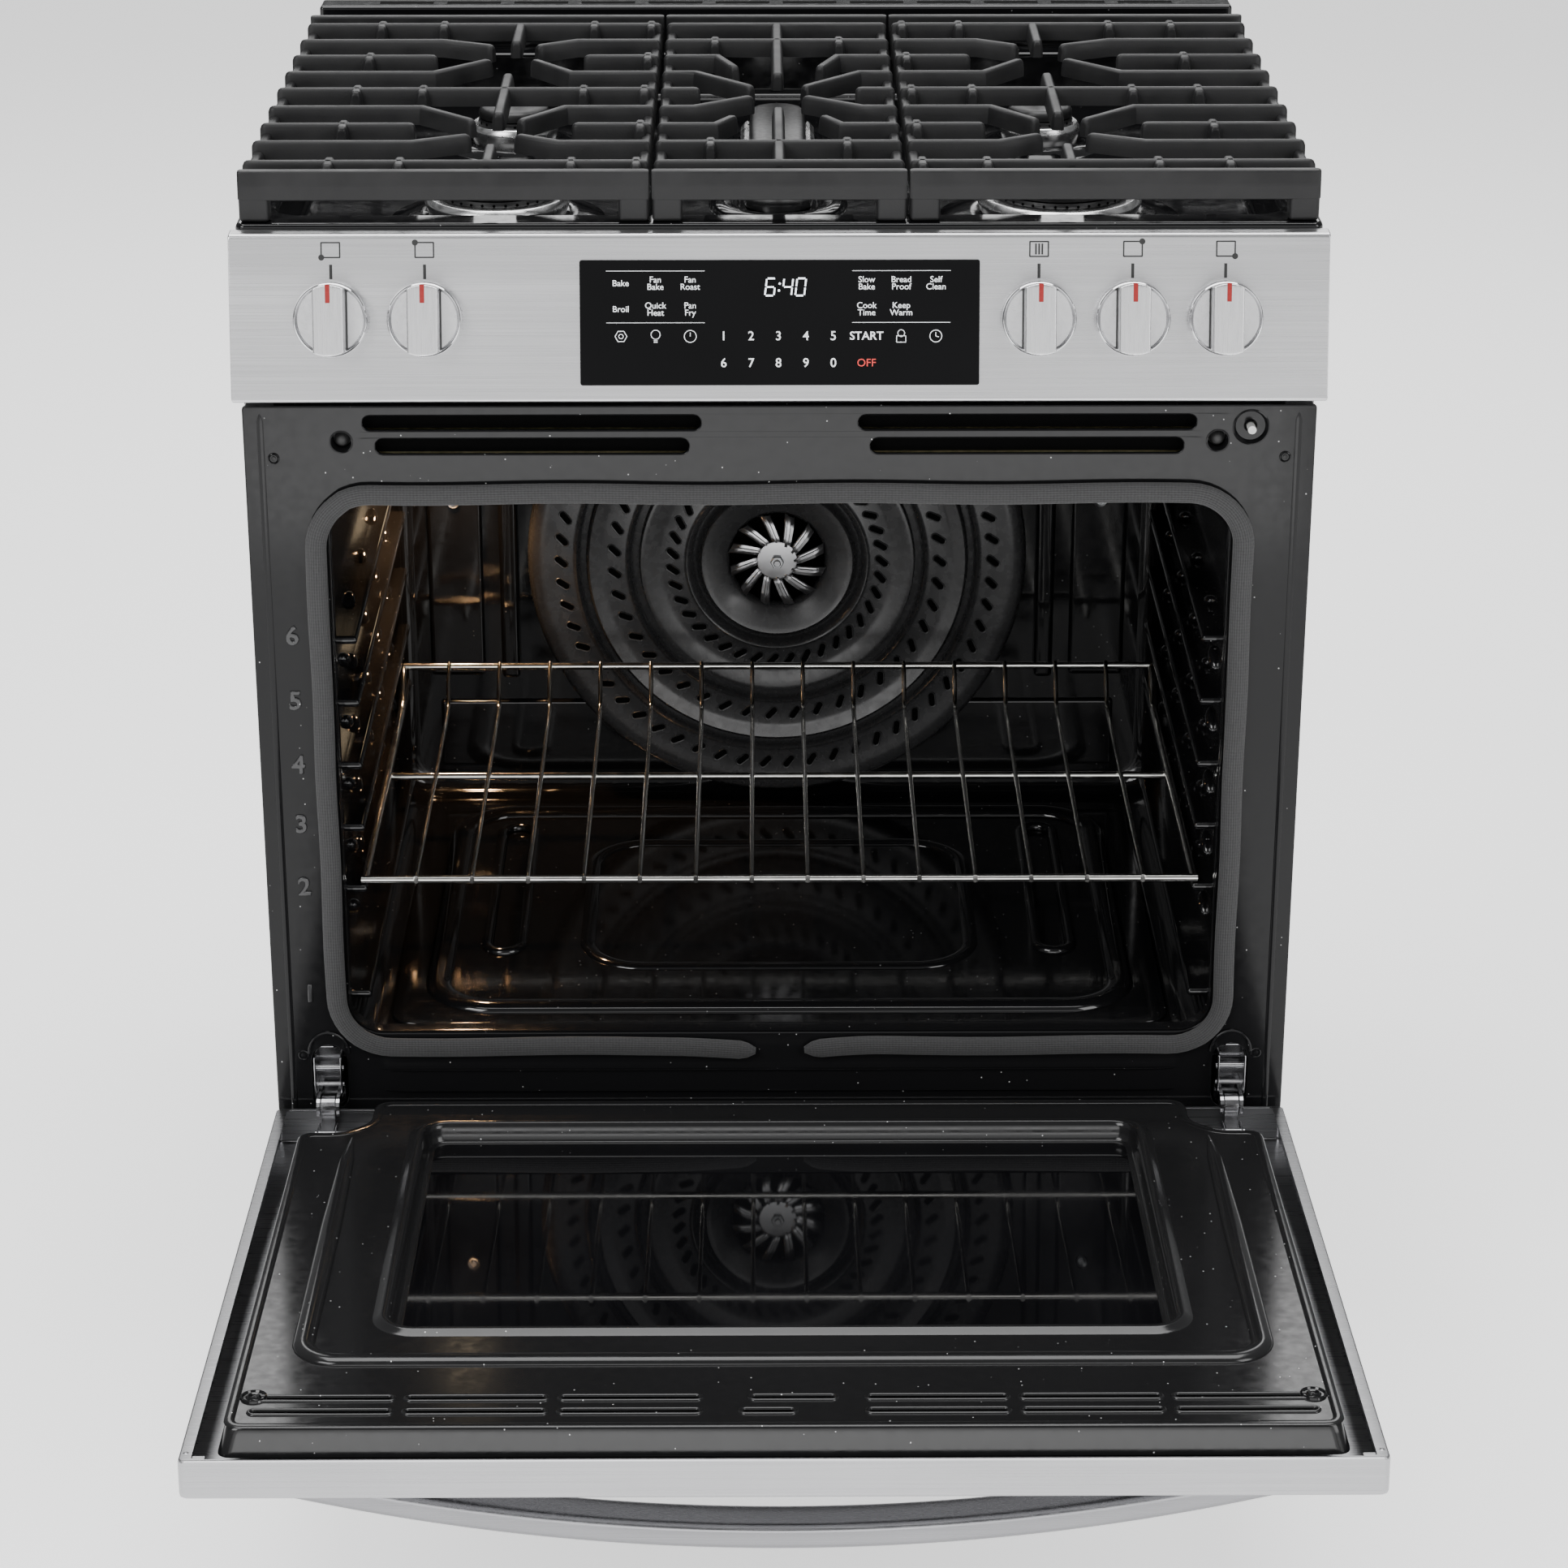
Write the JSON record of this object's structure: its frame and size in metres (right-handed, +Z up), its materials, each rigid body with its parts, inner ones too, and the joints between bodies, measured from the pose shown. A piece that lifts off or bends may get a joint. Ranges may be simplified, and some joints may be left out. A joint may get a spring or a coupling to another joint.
{
  "type": "freestanding gas range",
  "caption": "Freestanding gas range with a sloped front control panel, a drop-down oven door, cast grates over its burners, a wire oven rack and a lower drawer.",
  "frame": {"origin": "centre of the bounding box's underside, on the floor, with the oven door open and the drawer shut", "axes": "+Z up, +Y from the oven's front to its back, +X to the right as the front is faced"},
  "size_m": [0.762, 1.17, 0.925],
  "materials": {
    "front_steel": "fine horizontal brushing",
    "black_porcelain": "gloss enamel with fine pale specks",
    "cast_iron": "matt",
    "black_glass": "polished, black",
    "plated_steel": "bright plated",
    "galvanised": "plain coated sheet",
    "burner_aluminium": "polished",
    "knob_metal": "brushed grip on a bright ring",
    "brass": "plain",
    "gasket": "braided",
    "fibreglass": "loose wool",
    "lamp_glass": "frosted",
    "switch_plastic": "plain",
    "side_paint": "satin"
  },
  "bodies": {
    "range_body": {"front_frame": "black_porcelain", "side_panel_left": "side_paint", "side_panel_right": "side_paint", "rear_cover": "galvanised", "base_pan": "galvanised", "levelling_leg_front_left": "side_paint", "levelling_leg_front_right": "side_paint", "levelling_leg_rear_left": "side_paint", "levelling_leg_rear_right": "side_paint", "oven_liner": "black_porcelain", "insulation_blanket": "fibreglass", "oven_floor_cover": "black_porcelain", "fan_cover": "black_porcelain", "fan_motor": "galvanised", "oven_lamp": "lamp_glass", "door_gasket": "gasket", "bake_burner": "plated_steel", "broil_burner": "plated_steel", "control_panel": "front_steel", "control_glass": "black_glass", "cooktop": "black_porcelain", "rear_trim": "black_porcelain", "gas_manifold": "galvanised", "burner_base_left_front": "burner_aluminium", "burner_cap_left_front": "cast_iron", "burner_base_left_rear": "burner_aluminium", "burner_cap_left_rear": "cast_iron", "burner_base_centre": "burner_aluminium", "burner_cap_centre": "cast_iron", "burner_base_right_rear": "burner_aluminium", "burner_cap_right_rear": "cast_iron", "burner_base_right_front": "burner_aluminium", "burner_cap_right_front": "cast_iron", "hinge_receiver_left": "galvanised", "hinge_receiver_right": "galvanised"},
    "door": {"door_outer_skin": "front_steel", "door_inner_panel": "black_porcelain", "door_glass_inner": "black_glass", "door_glass_outer": "black_glass", "door_handle": "front_steel", "hinge_arm_left": "plated_steel", "hinge_arm_right": "plated_steel"},
    "drawer": {"drawer_front": "front_steel", "drawer_box": "galvanised"},
    "rack": {"oven_rack": "plated_steel"},
    "fan": {"fan_impeller": "burner_aluminium"},
    "door_switch": {"switch_plunger": "switch_plastic"},
    "grate_left_body": {"grate_left": "cast_iron"},
    "grate_centre_body": {"grate_centre": "cast_iron"},
    "grate_right_body": {"grate_right": "cast_iron"},
    "stem_left_front": {"valve_stem_left_front": "brass"},
    "dial_left_front": {"knob_left_front": "knob_metal"},
    "stem_left_rear": {"valve_stem_left_rear": "brass"},
    "dial_left_rear": {"knob_left_rear": "knob_metal"},
    "stem_centre": {"valve_stem_centre": "brass"},
    "dial_centre": {"knob_centre": "knob_metal"},
    "stem_right_rear": {"valve_stem_right_rear": "brass"},
    "dial_right_rear": {"knob_right_rear": "knob_metal"},
    "stem_right_front": {"valve_stem_right_front": "brass"},
    "dial_right_front": {"knob_right_front": "knob_metal"}
  },
  "joints": [
    {"name": "door_hinge", "type": "hinge", "parent": "range_body", "child": "door", "pos_m": [0, -0.0365, 0.22], "axis": [-1, 0, 0], "range_deg": [0, 86]},
    {"name": "drawer_slide", "type": "slide", "parent": "range_body", "child": "drawer", "axis": [0, 1, 0], "range_m": [-0.36, 0]},
    {"name": "rack_slide", "type": "slide", "parent": "range_body", "child": "rack", "axis": [0, 1, 0], "range_m": [-0.3, 0]},
    {"name": "fan_spin", "type": "hinge", "parent": "range_body", "child": "fan", "pos_m": [0, 0.44, 0.4836], "axis": [0, -1, 0], "continuous": true},
    {"name": "switch_press", "type": "slide", "parent": "range_body", "child": "door_switch", "axis": [0, 1, 0], "range_m": [0, 0.006], "stiffness_N_per_m": 200, "springref_m": -0.001},
    {"name": "grate_left_lift", "type": "slide", "parent": "range_body", "child": "grate_left_body", "axis": [0, 0, 1], "range_m": [0, 0.12]},
    {"name": "grate_centre_lift", "type": "slide", "parent": "range_body", "child": "grate_centre_body", "axis": [0, 0, 1], "range_m": [0, 0.12]},
    {"name": "grate_right_lift", "type": "slide", "parent": "range_body", "child": "grate_right_body", "axis": [0, 0, 1], "range_m": [0, 0.12]},
    {"name": "push_left_front", "type": "slide", "parent": "range_body", "child": "stem_left_front", "axis": [0, 0.9729, -0.2314], "range_m": [0, 0.003], "stiffness_N_per_m": 600, "springref_m": -0.003},
    {"name": "turn_left_front", "type": "hinge", "parent": "stem_left_front", "child": "dial_left_front", "pos_m": [-0.3102, -0.03401, 0.82872], "axis": [0, -0.9729, 0.2314], "range_deg": [0, 240]},
    {"name": "push_left_rear", "type": "slide", "parent": "range_body", "child": "stem_left_rear", "axis": [0, 0.9729, -0.2314], "range_m": [0, 0.003], "stiffness_N_per_m": 600, "springref_m": -0.003},
    {"name": "turn_left_rear", "type": "hinge", "parent": "stem_left_rear", "child": "dial_left_rear", "pos_m": [-0.2454, -0.03401, 0.82872], "axis": [0, -0.9729, 0.2314], "range_deg": [0, 240]},
    {"name": "push_centre", "type": "slide", "parent": "range_body", "child": "stem_centre", "axis": [0, 0.9729, -0.2314], "range_m": [0, 0.003], "stiffness_N_per_m": 600, "springref_m": -0.003},
    {"name": "turn_centre", "type": "hinge", "parent": "stem_centre", "child": "dial_centre", "pos_m": [0.1793, -0.03401, 0.82872], "axis": [0, -0.9729, 0.2314], "range_deg": [0, 240]},
    {"name": "push_right_rear", "type": "slide", "parent": "range_body", "child": "stem_right_rear", "axis": [0, 0.9729, -0.2314], "range_m": [0, 0.003], "stiffness_N_per_m": 600, "springref_m": -0.003},
    {"name": "turn_right_rear", "type": "hinge", "parent": "stem_right_rear", "child": "dial_right_rear", "pos_m": [0.2442, -0.03401, 0.82872], "axis": [0, -0.9729, 0.2314], "range_deg": [0, 240]},
    {"name": "push_right_front", "type": "slide", "parent": "range_body", "child": "stem_right_front", "axis": [0, 0.9729, -0.2314], "range_m": [0, 0.003], "stiffness_N_per_m": 600, "springref_m": -0.003},
    {"name": "turn_right_front", "type": "hinge", "parent": "stem_right_front", "child": "dial_right_front", "pos_m": [0.3085, -0.03401, 0.82872], "axis": [0, -0.9729, 0.2314], "range_deg": [0, 240]}
  ]
}
